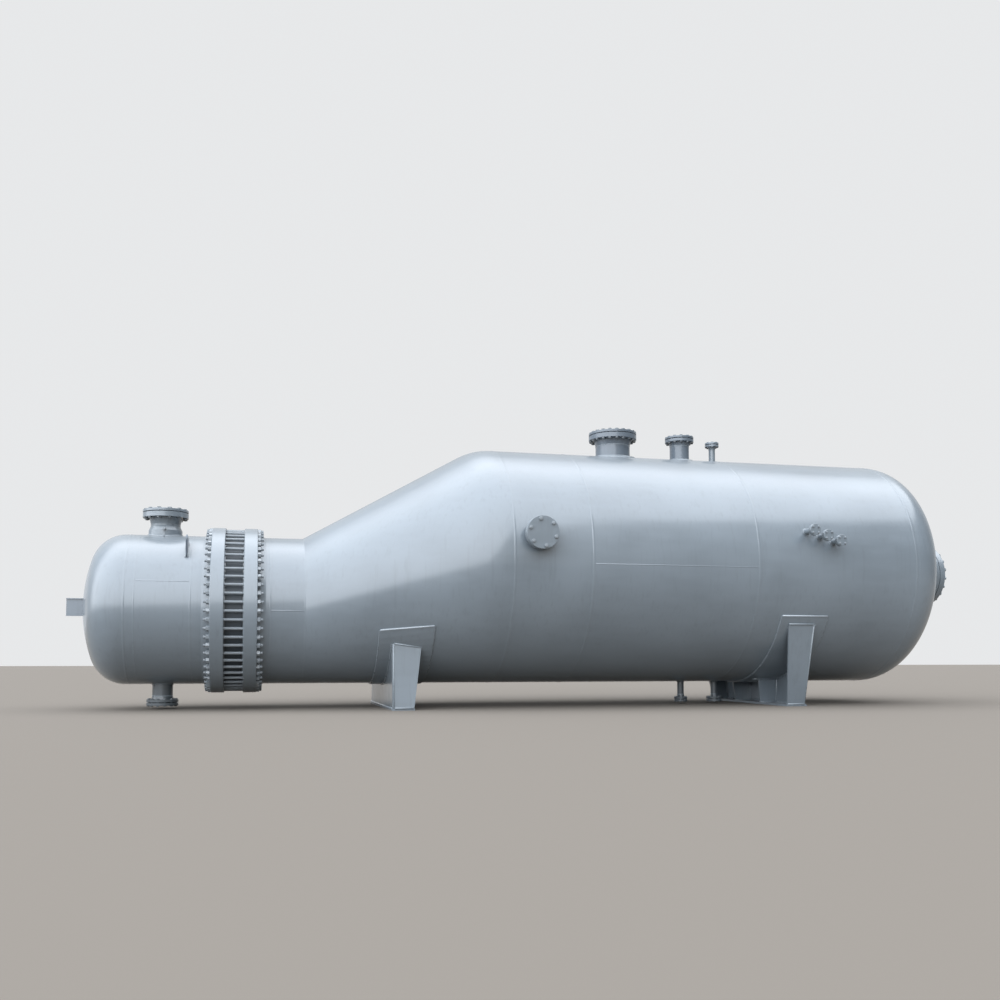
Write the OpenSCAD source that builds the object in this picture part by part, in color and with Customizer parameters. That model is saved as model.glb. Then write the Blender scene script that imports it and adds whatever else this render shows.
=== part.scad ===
// Kettle type shell and tube heat exchanger on two saddles.
// X runs along the vessel from the channel head to the rear head, Z is up.
// The origin is on the floor, in the middle of the fixed saddle's base plate.

/* [Kettle shell] */
// Inside diameter of the large shell
kettle_inner_d = 3000; // [2600:20:3400]
// Wall of the large shell
kettle_t = 26; // [16:1:40]
// Height of the vessel's level bottom line above the floor
bottom_h = 305; // [295:5:500]
// Length of the first course, next to the cone
course_1_l = 978; // [900:10:1400]
// Length of the second course
course_2_l = 2180; // [2100:10:3000]
// Length of the third course
course_3_l = 2229; // [2150:10:3000]

/* [Eccentric cone] */
// Length from the small end to the weld at the large end
cone_l = 2414; // [2300:2:3000]
// Length over which the wall turns from the slope to the large shell
knuckle_l = 400; // [300:10:600]
// Length of the straight edge between that turn and the weld
cone_flat = 40; // [20:5:200]
// Wall of the cone
cone_t = 26; // [16:1:40]

/* [Channel] */
// Inside diameter of the channel and of the shell's small end
channel_inner_d = 1800; // [1650:10:1960]
// Wall of the channel and of the small end
channel_t = 16; // [12:1:24]
// Length of the channel barrel
barrel_l = 736; // [640:2:1200]
// Length of the short cylinder between the shell flange and the cone
neck_l = 409; // [200:1:800]

/* [Dished heads] */
// Straight flange of the channel head
channel_skirt = 52; // [25:1:160]
// Straight flange of the rear head
rear_skirt = 50; // [25:1:90]

/* [Girth joint] */
// Outside diameter of the two girth flanges
girth_od = 2052; // [2040:2:2300]
// Thickness of each girth flange
girth_t = 160; // [120:5:200]
// Length of the hub behind the channel's flange
channel_hub_l = 222; // [180:2:300]
// Straight end of that hub, before its taper
channel_hub_end = 125; // [20:1:140]
// Length of the hub behind the shell's flange
shell_hub_l = 145; // [110:1:200]
// Straight end of that hub, before its taper
shell_hub_end = 50; // [20:1:70]
// Rise of both hubs towards their flanges
girth_hub_rise = 26; // [10:1:30]
// Space between the two girth flanges
girth_gap = 224; // [216:4:260]
// Height of the raised face on each girth flange
girth_raise = 12; // [6:1:16]
// Number of girth studs
stud_n = 60; // [40:4:64]
// Diameter of a girth stud
stud_d = 36; // [30:1:39]
// Distance from the stud circle to the flange rim
stud_edge = 36; // [34:1:50]
// Radial clearance of a stud in its hole
stud_clear = 1.5; // [1:0.5:3]
// Width across flats of a stud nut
stud_nut_af = 55; // [46:1:60]
// Height of a stud nut
stud_nut_h = 38; // [30:1:50]
// Length of stud past its nut
stud_tip = 30; // [10:1:60]
// Thickness of the tubesheet
tubesheet_t = 188; // [120:2:196]
// Gap between the tubesheet's rim and the studs
tubesheet_clear = 30; // [6:1:32]

/* [Rear manway] */
// Outside diameter of the neck
manway_neck_od = 630; // [500:5:700]
// Outside diameter of the flange and cover
manway_od = 840; // [800:5:950]
// Bolt circle of the cover
manway_bc = 770; // [730:5:780]
// Number of bolts
manway_bolts = 20; // [12:4:24]
// Neck length from the top of the head to the flange face
manway_reach = 360; // [250:5:500]
// Thickness of the flange
manway_flange_t = 76; // [40:1:84]
// Thickness of the cover
manway_cover_t = 78; // [40:1:84]

/* [Side handhole] */
// Place along the vessel, from the large end of the cone
handhole_x = 293; // [280:1:600]
// Height above the kettle's axis
handhole_up = 268; // [150:1:400]
// Outside diameter of the neck
handhole_neck_od = 273; // [150:1:280]
// Outside diameter of the flange and cover
handhole_od = 396; // [380:2:440]
// Bolt circle of the cover
handhole_bc = 326; // [318:1:335]
// Turn of the bolt circle from straddling the upright
handhole_turn = 11.5; // [0:0.5:30]
// Distance from the kettle's side to the flange face
handhole_out = 129; // [110:1:240]

/* [Top nozzles] */
// Place of the vapour nozzle along the vessel, from the second weld
vapour_x = 814; // [500:1:900]
// Outside diameter of the vapour neck
vapour_neck_od = 466; // [400:2:520]
// Outside diameter of the vapour flange and cover
vapour_od = 648; // [640:2:760]
// Bolt circle of the vapour flange
vapour_bc = 590; // [580:2:600]
// Place of the relief nozzle, from the vapour nozzle
relief_x = 987; // [850:1:1100]
// Outside diameter of the relief neck
relief_neck_od = 264; // [180:1:290]
// Outside diameter of the relief flange and cover
relief_od = 392; // [384:2:460]
// Bolt circle of the relief flange
relief_bc = 344; // [334:1:352]
// Place of the vent nozzle, from the relief nozzle
vent_x = 492; // [440:1:600]
// Outside diameter of the vent neck
vent_neck_od = 88; // [60:1:96]
// Outside diameter of the vent flange and cover
vent_od = 190; // [184:2:240]
// Bolt circle of the vent flange
vent_bc = 154; // [146:1:160]
// Height of the vapour nozzle's flange face above the kettle's top line
vapour_reach = 320; // [300:2:420]
// Height of the relief nozzle's flange face above the kettle's top line
relief_reach = 316; // [280:2:400]
// Height of the vent nozzle's flange face above the kettle's top line
vent_reach = 266; // [220:2:360]
// Outside diameter of the vapour nozzle's reinforcing pad
vapour_pad_od = 590; // [560:2:800]
// Outside diameter of the relief nozzle's reinforcing pad
relief_pad_od = 364; // [330:2:520]
// Thickness of the two pads
pad_t = 20; // [10:1:30]

/* [Level gauge nozzles] */
// Place of the first one along the vessel, from the third course's weld
gauge_x = 667; // [550:1:800]
// Step from one to the next along the vessel
gauge_step_x = 183; // [165:1:260]
// Drop from one to the next
gauge_drop = 63; // [0:1:90]
// Height of the first above the kettle's axis
gauge_up = 394; // [250:1:450]
// Distance from the kettle's side to the flange faces
gauge_out = 160; // [110:1:240]
// Outside diameter of a neck
gauge_neck_od = 72; // [48:1:76]
// Outside diameter of a flange and cover
gauge_od = 146; // [142:1:160]
// Bolt circle of a flange
gauge_bc = 106; // [104:1:112]

/* [Drain nozzles] */
// Place of the first drain along the vessel, from the second weld
drain_x = 1774; // [1500:1:1900]
// Distance between the two drains
drain_step = 498; // [300:1:600]
// Outside diameter of the drain necks
drain_neck_od = 89; // [60:1:100]
// Outside diameter of the first and the second drain flange
drain_od = [180, 214]; // [180:1:230]
// Bolt circle of the first and the second drain flange
drain_bc = [146, 170]; // [146:1:184]
// Drop of the drain flange faces below the vessel's bottom line
drain_drop = 246; // [150:1:250]

/* [Channel nozzles] */
// Place of the channel nozzles along the barrel, from the head
channel_nozzle_x = 381; // [280:1:420]
// Outside diameter of the upper nozzle's neck
inlet_neck_od = 352; // [300:1:360]
// Outside diameter of the thick foot of the upper neck
inlet_foot_od = 404; // [390:2:420]
// Outside diameter of the upper flange and cover
inlet_od = 548; // [540:2:600]
// Bolt circle of the upper flange
inlet_bc = 476; // [470:1:490]
// Height of the upper flange face above the channel's top line
inlet_reach = 286; // [260:1:400]
// Diameter of the small coupling on the upper neck
coupling_od = 42; // [30:1:60]
// Height of the coupling above the channel's top line
coupling_up = 68; // [50:1:90]
// Distance from the neck's axis to the end of the coupling
coupling_reach = 222; // [210:1:250]
// Outside diameter of the lower nozzle's neck
outlet_neck_od = 244; // [180:1:250]
// Outside diameter of the lower flange and cover
outlet_od = 380; // [372:2:400]
// Bolt circle of the lower flange
outlet_bc = 326; // [318:1:332]
// Drop of the lower flange face below the channel's bottom line
outlet_drop = 228; // [180:1:230]

/* [Fittings] */
// Thickness of a lifting lug on the channel
lug_t = 20; // [15:1:40]
// Length of a lug's foot
lug_w = 290; // [200:5:340]
// Reach of a lug past the barrel
lug_reach = 200; // [110:1:220]
// Radius of a lug's rounded tip
lug_tip_r = 64; // [56:1:76]
// Distance of a lug from the weld between barrel and hub
lug_back = 46; // [10:1:80]
// Hole in a lug
lug_hole_d = 64; // [40:1:76]
// Angle of a lug above the channel's side
lug_angle = 49; // [35:1:50]
// Length of the end bracket past the channel head
bracket_l = 210; // [120:5:300]
// Height of the end bracket
bracket_h = 216; // [120:2:260]
// Height of the end bracket's middle above the channel's axis
bracket_up = 20; // [0:2:60]
// Thickness of the end bracket's plate
bracket_t = 12; // [8:1:20]

/* [Saddles] */
// Distance between the two saddles
saddle_span = 5150; // [4800:10:5300]
// Distance from the fixed saddle to the cone's small end
cone_to_saddle = 1153; // [1000:1:1300]
// Length of a base plate across the vessel
base_l = 2140; // [2050:10:2500]
// Width of a base plate along the vessel
base_w = 280; // [270:5:360]
// Thickness of a base plate
base_t = 25; // [16:1:40]
// Thickness of the web and the ribs
web_t = 25; // [14:1:30]
// Width of a rib at its foot
rib_foot_w = 262; // [180:2:265]
// Width of a rib at its top, on the fixed saddle
fixed_rib_top_w = 361; // [280:1:380]
// Width of a rib at its top, on the sliding saddle
sliding_rib_top_w = 378; // [280:1:400]
// Number of ribs on a saddle
rib_n = 4; // [4:1:6]
// Thickness of a wear plate
wear_t = 16; // [10:1:24]
// Width of a wear plate along the vessel
wear_w = 636; // [560:4:700]
// Distance that a wear plate lies off the base's middle, on the side of the ribs
wear_shift = 38; // [0:2:80]
// Angle from the bottom up to the sliding saddle's wear plate edge
wear_angle = 63.9; // [61:0.1:68]
// Angle from the bottom up to the top of the sliding saddle's web
sliding_horn = 59.6; // [55:0.1:60]
// Angle from the bottom up to the top of the fixed saddle's web
fixed_horn = 54; // [50:0.5:56]
// Height of the fixed saddle's wear plate edge above the vessel's bottom line
fixed_wear_h = 668; // [640:2:700]
// Rise of that edge towards the rear head, in degrees
fixed_wear_rise = 4.6; // [0:0.1:8]
// Diameter of an anchor bolt hole
anchor_d = 34; // [24:1:40]
// Distance between anchor bolts across the vessel
anchor_span = 1780; // [1600:10:1860]
// Distance between anchor bolts along the vessel
anchor_pitch = 110; // [90:5:120]
// Slot length of the sliding saddle's anchor holes
anchor_slot = 70; // [50:1:90]

/* [Hidden] */

$fn = 96;
shell_fn = 360;
paint = [0.60, 0.67, 0.74];
bare = [0.35, 0.36, 0.38];

// Radii and heights of the two axes
kettle_r = kettle_inner_d / 2 + kettle_t;
channel_r = channel_inner_d / 2 + channel_t;
kettle_z = bottom_h + kettle_r;
channel_z = bottom_h + channel_r;

// Stations along the vessel
cone_x = -cone_to_saddle;
shell_flange_x = cone_x - neck_l - shell_hub_l - girth_t;
channel_flange_x = shell_flange_x - girth_gap;
barrel_end_x = channel_flange_x - girth_t - channel_hub_l;
barrel_x = barrel_end_x - barrel_l;
inlet_x = barrel_x + channel_nozzle_x;
lug_x = barrel_end_x - lug_back - lug_t;
course_1_x = cone_x + cone_l;
course_2_x = course_1_x + course_1_l;
course_3_x = course_2_x + course_2_l;
rear_x = course_3_x + course_3_l;
channel_tangent_x = barrel_x - channel_skirt;
rear_tangent_x = rear_x + rear_skirt;

// Girth joint
girth_r = girth_od / 2;
stud_r = girth_r - stud_edge;
gasket_t = (girth_gap - tubesheet_t) / 2 - girth_raise;
tubesheet_r = stud_r - stud_d / 2 - tubesheet_clear;
face_w = 24;
chamfer = 6;

// Dished heads: radii of the knuckle and the crown as shares of the shell's radius
channel_dish = [0.44, 2.058];
rear_dish = [0.31, 1.58];

// Cone: one ring of facets at each end of the slope, the rest in the knuckle
cone_facets = 92;
cone_step = 360 / cone_facets;
knuckle_rings = 10;
cone_slope = (kettle_r - channel_r) / (cone_l - knuckle_l / 2 - cone_flat);

// Nozzle flanges: raised face, bolt clearance, edge, and the hub's and the face's distance
// from the bolts in bolt diameters; the hub's spread and length in flange thicknesses
raise = 8;
bolt_clear = 2;
rim_edge = 3;
hub_clear = 1.1;
face_clear = 1.15;
hub_spread = 0.35;
hub_taper = 1.35;
thin_neck_wall = 10;
neck_wall_ratio = 24;

// Bolts, flanges and covers of the nozzles
vapour_bolts = 20;
vapour_bolt_d = 30;
vapour_flange_t = 62;
vapour_cover_t = 34;
relief_bolts = 12;
relief_bolt_d = 24;
relief_flange_t = 40;
relief_cover_t = 28;
small_bolts = 8;
small_bolt_d = 16;
small_flange_t = 26;
handhole_bolts = 6;
handhole_bolt_d = 24;
handhole_flange_t = 44;
handhole_cover_t = 40;
gauge_n = 3;
gauge_bolts = 4;
gauge_bolt_d = 16;
gauge_flange_t = 22;
inlet_bolts = 12;
inlet_bolt_d = 30;
inlet_flange_t = 62;
inlet_cover_t = 32;
inlet_foot_h = 58;
inlet_foot_slope = 58;
outlet_bolts = 12;
outlet_bolt_d = 22;
outlet_flange_t = 32;
manway_bolt_d = 33;

// Places and face heights of the nozzles
vapour_at = course_2_x + vapour_x;
relief_at = vapour_at + relief_x;
vent_at = relief_at + vent_x;
handhole_at = course_1_x + handhole_x;
handhole_z = kettle_z + handhole_up;
handhole_reach = kettle_r + handhole_out;
gauge_reach = kettle_r + gauge_out;
vapour_face = kettle_z + kettle_r + vapour_reach;
relief_face = kettle_z + kettle_r + relief_reach;
vent_face = kettle_z + kettle_r + vent_reach;
drain_face = bottom_h - drain_drop;
inlet_face = channel_z + channel_r + inlet_reach;
outlet_face = bottom_h - outlet_drop;
manway_face = rear_tangent_x + head_depth(kettle_r, rear_dish) + manway_reach;
function drain_at(i) = course_2_x + drain_x + i * drain_step;
function gauge_at(i) = course_3_x + gauge_x + i * gauge_step_x;
function gauge_z(i) = kettle_z + gauge_up - i * gauge_drop;

// Wall of a nozzle neck for its diameter
function neck_wall(od) = max(thin_neck_wall, od / neck_wall_ratio);

// Lugs: depth of the foot in the barrel's curve and height of its straight sides
lug_root = 72;
lug_side = 20;

// Saddles: facets of the cone's wear plate before its edge is trimmed, distance of the
// web from the base's edge
wear_facets = 17;
web_inset = 10;
web_x = -base_w / 2 + web_inset;

// Extra length of shapes that are cut off by a shell, and of cutters past a face
overlap = 400;
cut_past = 1;
// Fillet welds are left out of the solids: the gap that they bridge
weld_gap = 0.3;

function head_depth(r, dish) = dish[1] * r
    - sqrt(pow((dish[1] - dish[0]) * r, 2) - pow((1 - dish[0]) * r, 2));

// Radius of the cone's outer wall at a distance u from its small end
knuckle_start = cone_l - cone_flat - knuckle_l;
function cone_r(u) = u <= knuckle_start ? channel_r + cone_slope * u
    : u >= knuckle_start + knuckle_l ? kettle_r
    : channel_r + cone_slope * u
        - cone_slope * pow(u - knuckle_start, 2) / (2 * knuckle_l);

// Turns a shape about Z so that its axis lies along the vessel at height z
module lay(x, z) {
    translate([x, 0, z])
        rotate([0, 90, 0])
            children();
}

module tube(r, t, l) {
    difference() {
        cylinder(r = r, h = l);
        translate([0, 0, -cut_past])
            cylinder(r = r - t, h = l + 2 * cut_past);
    }
}

// Half section of a dished head with its tangent line at height 0
module head_half(r, knuckle, crown, depth) {
    rise = crown - depth;
    reach = 2 * r;
    intersection() {
        translate([0, -rise])
            circle(r = crown, $fn = 240);
        polygon([[0, 0], [r - knuckle, 0], [(reach + rise) * (r - knuckle) / rise, reach], [0, reach]]);
    }
    intersection() {
        translate([r - knuckle, 0])
            circle(r = knuckle);
        square([r, knuckle]);
    }
}

module head_section(r, t, skirt, dish) {
    depth = head_depth(r, dish);
    difference() {
        head_half(r, dish[0] * r, dish[1] * r, depth);
        head_half(r - t, dish[0] * r - t, dish[1] * r - t, depth - t);
    }
    translate([r - t, -skirt])
        square([t, skirt]);
}

module channel_head() {
    color(paint)
        lay(channel_tangent_x, channel_z)
            mirror([0, 0, 1])
                rotate_extrude()
                    head_section(channel_r, channel_t, channel_skirt, channel_dish);
}

module rear_head() {
    color(paint)
        lay(rear_tangent_x, kettle_z)
            rotate_extrude()
                difference() {
                    head_section(kettle_r, kettle_t, rear_skirt, rear_dish);
                    square([manway_neck_od / 2 - neck_wall(manway_neck_od), kettle_r]);
                }
}

module channel_barrel() {
    color(paint)
        difference() {
            lay(barrel_x, channel_z)
                tube(channel_r, channel_t, barrel_l);
            translate([inlet_x, 0, channel_z])
                cylinder(r = inlet_neck_od / 2 - neck_wall(inlet_neck_od), h = 2 * channel_r);
            translate([inlet_x, 0, channel_z - 2 * channel_r])
                cylinder(r = outlet_neck_od / 2 - neck_wall(outlet_neck_od), h = 2 * channel_r);
        }
}

// A girth flange with its face towards +Z at height 0
module girth_flange(hub_l, hub_end) {
    inner = channel_r - channel_t;
    back = -girth_t;
    difference() {
        rotate_extrude()
            polygon([[inner, back - hub_l], [channel_r, back - hub_l],
                [channel_r, back - hub_l + hub_end],
                [channel_r + girth_hub_rise, back],
                [girth_r - chamfer, back], [girth_r, back + chamfer],
                [girth_r, -chamfer], [girth_r - chamfer, 0],
                [tubesheet_r - face_w / 2, 0], [tubesheet_r - face_w / 2, girth_raise],
                [inner, girth_raise]]);
        for (i = [0 : stud_n - 1])
            rotate([0, 0, (i + 0.5) * 360 / stud_n])
                translate([stud_r, 0, -girth_t - cut_past])
                    cylinder(r = stud_d / 2 + stud_clear, h = girth_t + 2 * cut_past, $fn = 32);
    }
}

module channel_flange() {
    color(paint)
        lay(channel_flange_x, channel_z)
            girth_flange(channel_hub_l, channel_hub_end);
}

module shell_flange() {
    color(paint)
        lay(shell_flange_x, channel_z)
            mirror([0, 0, 1])
                girth_flange(shell_hub_l, shell_hub_end);
}

module gasket() {
    tube(tubesheet_r - face_w / 2, face_w, gasket_t);
}

module channel_gasket() {
    color(bare)
        lay(channel_flange_x + girth_raise, channel_z)
            gasket();
}

module shell_gasket() {
    color(bare)
        lay(shell_flange_x - girth_raise - gasket_t, channel_z)
            gasket();
}

module tubesheet() {
    color(paint)
        lay(channel_flange_x + girth_raise + gasket_t, channel_z)
            cylinder(r = tubesheet_r, h = tubesheet_t);
}

// One stud with its two nuts, centred on the joint
module girth_stud() {
    grip = girth_gap + 2 * girth_t;
    length = grip + 2 * (stud_nut_h + stud_tip);
    translate([0, 0, -length / 2])
        cylinder(r = stud_d / 2, h = length, $fn = 32);
    for (side = [0, 1])
        mirror([0, 0, side])
            translate([0, 0, grip / 2])
                cylinder(r = stud_nut_af / sqrt(3), h = stud_nut_h, $fn = 6);
}

module girth_studs() {
    color(bare)
        lay((channel_flange_x + shell_flange_x) / 2, channel_z)
            for (i = [0 : stud_n - 1])
                rotate([0, 0, (i + 0.5) * 360 / stud_n])
                    translate([stud_r, 0, 0])
                        girth_stud();
}

module shell_neck() {
    color(paint)
        lay(cone_x - neck_l, channel_z)
            tube(channel_r, channel_t, neck_l);
}

// A ring of points on the cone's wall, moved out by an offset
function cone_ring(u, offset, first, last) = [for (i = [first : last])
    let (a = i * cone_step, r = cone_r(u))
    [cone_x + u, (r + offset) * sin(a), bottom_h + r - (r + offset) * cos(a)]];

// Distances of the rings from the small end
cone_us = concat([0, knuckle_start],
    [for (i = [1 : knuckle_rings]) knuckle_start + i * knuckle_l / knuckle_rings], [cone_l]);

// Closed skin through rings of the same number of points, the last joined to the first
function skin_faces(rings, points) = concat(
    [for (j = [0 : rings - 1]) for (i = [0 : points - 1])
        let (k = (j + 1) % rings, n = (i + 1) % points)
        each [[j * points + i, k * points + n, j * points + n],
            [j * points + i, k * points + i, k * points + n]]]);

module eccentric_cone() {
    count = len(cone_us);
    outer = [for (u = cone_us) cone_ring(u, 0, 0, cone_facets - 1)];
    inner = [for (j = [1 : count]) cone_ring(cone_us[count - j], -cone_t, 0, cone_facets - 1)];
    rings = concat(outer, inner);
    color(paint)
        polyhedron(points = [for (ring = rings) each ring],
            faces = skin_faces(len(rings), cone_facets), convexity = 4);
}

// Kettle courses
module course(x, l) {
    lay(x, kettle_z)
        tube(kettle_r, kettle_t, l);
}

module bore_up(x, neck_od) {
    translate([x, 0, kettle_z])
        cylinder(r = neck_od / 2 - neck_wall(neck_od), h = 2 * kettle_r);
}

module bore_down(x, neck_od) {
    translate([x, 0, kettle_z - 2 * kettle_r])
        cylinder(r = neck_od / 2 - neck_wall(neck_od), h = 2 * kettle_r);
}

module bore_near(x, z, neck_od) {
    translate([x, 0, z])
        rotate([90, 0, 0])
            cylinder(r = neck_od / 2 - neck_wall(neck_od), h = 2 * kettle_r);
}

module kettle_course_1() {
    color(paint)
        difference() {
            course(course_1_x, course_1_l);
            bore_near(handhole_at, handhole_z, handhole_neck_od);
        }
}

module kettle_course_2() {
    color(paint)
        difference() {
            course(course_2_x, course_2_l);
            bore_up(vapour_at, vapour_neck_od);
            bore_up(relief_at, relief_neck_od);
            bore_down(drain_at(0), drain_neck_od);
        }
}

module kettle_course_3() {
    color(paint)
        difference() {
            course(course_3_x, course_3_l);
            bore_up(vent_at, vent_neck_od);
            bore_down(drain_at(1), drain_neck_od);
            for (i = [0 : gauge_n - 1])
                bore_near(gauge_at(i), gauge_z(i), gauge_neck_od);
        }
}

// A weld neck flange with its raised face at height 0 and its neck running down
module neck_flange(neck_od, od, bc, bolts, bolt_d, flange_t, neck_l) {
    inner = neck_od / 2 - neck_wall(neck_od);
    hub = min(bc / 2 - bolt_d * hub_clear, neck_od / 2 + flange_t * hub_spread);
    face = bc / 2 - bolt_d * face_clear;
    rim = od / 2;
    back = -raise - flange_t;
    difference() {
        rotate_extrude()
            polygon([[inner, -neck_l], [neck_od / 2, -neck_l],
                [neck_od / 2, back - flange_t * hub_taper], [hub, back],
                [rim - rim_edge, back], [rim, back + rim_edge],
                [rim, -raise - rim_edge], [rim - rim_edge, -raise],
                [face, -raise], [face, 0], [inner, 0]]);
        bolt_holes(bc, bolts, bolt_d, back, flange_t);
    }
}

// Holes that straddle the local Y axis
module bolt_holes(bc, bolts, bolt_d, z, t) {
    for (i = [0 : bolts - 1])
        rotate([0, 0, (i + 0.5) * 360 / bolts])
            translate([bc / 2, 0, z - cut_past])
                cylinder(r = bolt_d / 2 + bolt_clear / 2, h = t + 2 * cut_past, $fn = 24);
}

// A blind cover lying on a raised face at height 0
module blind(od, bc, bolts, bolt_d, t) {
    rim = od / 2;
    difference() {
        rotate_extrude()
            polygon([[0, 0], [rim - rim_edge, 0], [rim, rim_edge], [rim, t - rim_edge],
                [rim - rim_edge, t], [0, t]]);
        bolt_holes(bc, bolts, bolt_d, 0, t);
    }
}

module kettle_cut() {
    lay(course_1_x - overlap, kettle_z)
        cylinder(r = kettle_r, h = rear_x - course_1_x + 2 * overlap, $fn = shell_fn);
}

module channel_cut() {
    lay(barrel_x - overlap, channel_z)
        cylinder(r = channel_r, h = barrel_l + 2 * overlap, $fn = shell_fn);
}

// Nozzle seats: the children stand on a face that looks up, down or to the near side
module face_up(x, z) {
    translate([x, 0, z])
        children();
}

module face_down(x, z) {
    translate([x, 0, z])
        rotate([180, 0, 0])
            children();
}

module face_near(x, y, z) {
    translate([x, -y, z])
        rotate([90, 0, 0])
            children();
}

// Top nozzles of the kettle
module vapour_nozzle() {
    color(paint)
        difference() {
            face_up(vapour_at, vapour_face)
                neck_flange(vapour_neck_od, vapour_od, vapour_bc, vapour_bolts, vapour_bolt_d,
                    vapour_flange_t, vapour_reach + overlap / 2);
            kettle_cut();
        }
}

module vapour_cover() {
    color(paint)
        face_up(vapour_at, vapour_face)
            blind(vapour_od, vapour_bc, vapour_bolts, vapour_bolt_d, vapour_cover_t);
}

module top_pad(x, neck_od, pad_od) {
    difference() {
        intersection() {
            translate([x, 0, kettle_z])
                tube(pad_od / 2, pad_od / 2 - neck_od / 2, 2 * kettle_r);
            lay(x - pad_od, kettle_z)
                cylinder(r = kettle_r + pad_t, h = 2 * pad_od, $fn = shell_fn);
        }
        kettle_cut();
    }
}

module vapour_pad() {
    color(paint)
        top_pad(vapour_at, vapour_neck_od, vapour_pad_od);
}

module relief_nozzle() {
    color(paint)
        difference() {
            face_up(relief_at, relief_face)
                neck_flange(relief_neck_od, relief_od, relief_bc, relief_bolts, relief_bolt_d,
                    relief_flange_t, relief_reach + overlap / 2);
            kettle_cut();
        }
}

module relief_cover() {
    color(paint)
        face_up(relief_at, relief_face)
            blind(relief_od, relief_bc, relief_bolts, relief_bolt_d, relief_cover_t);
}

module relief_pad() {
    color(paint)
        top_pad(relief_at, relief_neck_od, relief_pad_od);
}

module vent_nozzle() {
    color(paint)
        difference() {
            face_up(vent_at, vent_face)
                neck_flange(vent_neck_od, vent_od, vent_bc, small_bolts, small_bolt_d,
                    small_flange_t, vent_reach + overlap / 2);
            kettle_cut();
        }
}

module vent_cover() {
    color(paint)
        face_up(vent_at, vent_face)
            blind(vent_od, vent_bc, small_bolts, small_bolt_d, small_flange_t);
}

// Side handhole and level gauge nozzles stand out level towards the near side
module handhole_neck() {
    color(paint)
        difference() {
            face_near(handhole_at, handhole_reach, handhole_z)
                rotate([0, 0, handhole_turn])
                    neck_flange(handhole_neck_od, handhole_od, handhole_bc, handhole_bolts,
                        handhole_bolt_d, handhole_flange_t, handhole_out + overlap);
            kettle_cut();
        }
}

module handhole_cover() {
    color(paint)
        face_near(handhole_at, handhole_reach, handhole_z)
            rotate([0, 0, handhole_turn])
                blind(handhole_od, handhole_bc, handhole_bolts, handhole_bolt_d, handhole_cover_t);
}

module gauge_nozzle(i) {
    color(paint)
        difference() {
            face_near(gauge_at(i), gauge_reach, gauge_z(i))
                neck_flange(gauge_neck_od, gauge_od, gauge_bc, gauge_bolts, gauge_bolt_d,
                    gauge_flange_t, gauge_out + overlap / 2);
            kettle_cut();
        }
}

module gauge_cover(i) {
    color(paint)
        face_near(gauge_at(i), gauge_reach, gauge_z(i))
            blind(gauge_od, gauge_bc, gauge_bolts, gauge_bolt_d, gauge_flange_t);
}

module drain_nozzle(i) {
    color(paint)
        difference() {
            face_down(drain_at(i), drain_face)
                neck_flange(drain_neck_od, drain_od[i], drain_bc[i], small_bolts, small_bolt_d,
                    small_flange_t, drain_drop + overlap / 2);
            kettle_cut();
        }
}

module drain_cover(i) {
    color(paint)
        face_down(drain_at(i), drain_face)
            blind(drain_od[i], drain_bc[i], small_bolts, small_bolt_d, small_flange_t);
}

// Upper channel nozzle: a neck with a thick foot and a small plugged coupling
module inlet_foot() {
    foot_top = -inlet_reach + inlet_foot_h;
    slope_top = foot_top + inlet_foot_slope;
    inner = inlet_neck_od / 2 - neck_wall(inlet_neck_od) / 2;
    rotate_extrude()
        polygon([[inner, -inlet_reach - overlap / 2], [inlet_foot_od / 2, -inlet_reach - overlap / 2],
            [inlet_foot_od / 2, foot_top], [inlet_neck_od / 2, slope_top], [inner, slope_top]]);
}

module inlet_coupling() {
    inner = inlet_neck_od / 2 - neck_wall(inlet_neck_od) / 2;
    translate([0, -inner, coupling_up - inlet_reach])
        rotate([90, 0, 0])
            cylinder(r = coupling_od / 2, h = coupling_reach - inner);
}

module inlet_nozzle() {
    color(paint)
        difference() {
            face_up(inlet_x, inlet_face) {
                neck_flange(inlet_neck_od, inlet_od, inlet_bc, inlet_bolts, inlet_bolt_d,
                    inlet_flange_t, inlet_reach + overlap / 2);
                inlet_foot();
                inlet_coupling();
            }
            channel_cut();
        }
}

module inlet_cover() {
    color(paint)
        face_up(inlet_x, inlet_face)
            blind(inlet_od, inlet_bc, inlet_bolts, inlet_bolt_d, inlet_cover_t);
}

module outlet_nozzle() {
    color(paint)
        difference() {
            face_down(inlet_x, outlet_face)
                neck_flange(outlet_neck_od, outlet_od, outlet_bc, outlet_bolts, outlet_bolt_d,
                    outlet_flange_t, outlet_drop + overlap / 2);
            channel_cut();
        }
}

module outlet_cover() {
    color(paint)
        face_down(inlet_x, outlet_face)
            blind(outlet_od, outlet_bc, outlet_bolts, outlet_bolt_d, outlet_flange_t);
}

// Rear manway on the kettle's axis
module manway_neck() {
    color(paint)
        difference() {
            lay(manway_face, kettle_z)
                neck_flange(manway_neck_od, manway_od, manway_bc, manway_bolts, manway_bolt_d,
                    manway_flange_t, manway_reach + overlap / 2);
            lay(rear_tangent_x, kettle_z)
                rotate_extrude()
                    head_half(kettle_r, rear_dish[0] * kettle_r, rear_dish[1] * kettle_r,
                        head_depth(kettle_r, rear_dish));
        }
}

module manway_cover() {
    color(paint)
        lay(manway_face, kettle_z)
            blind(manway_od, manway_bc, manway_bolts, manway_bolt_d, manway_cover_t);
}

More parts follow.
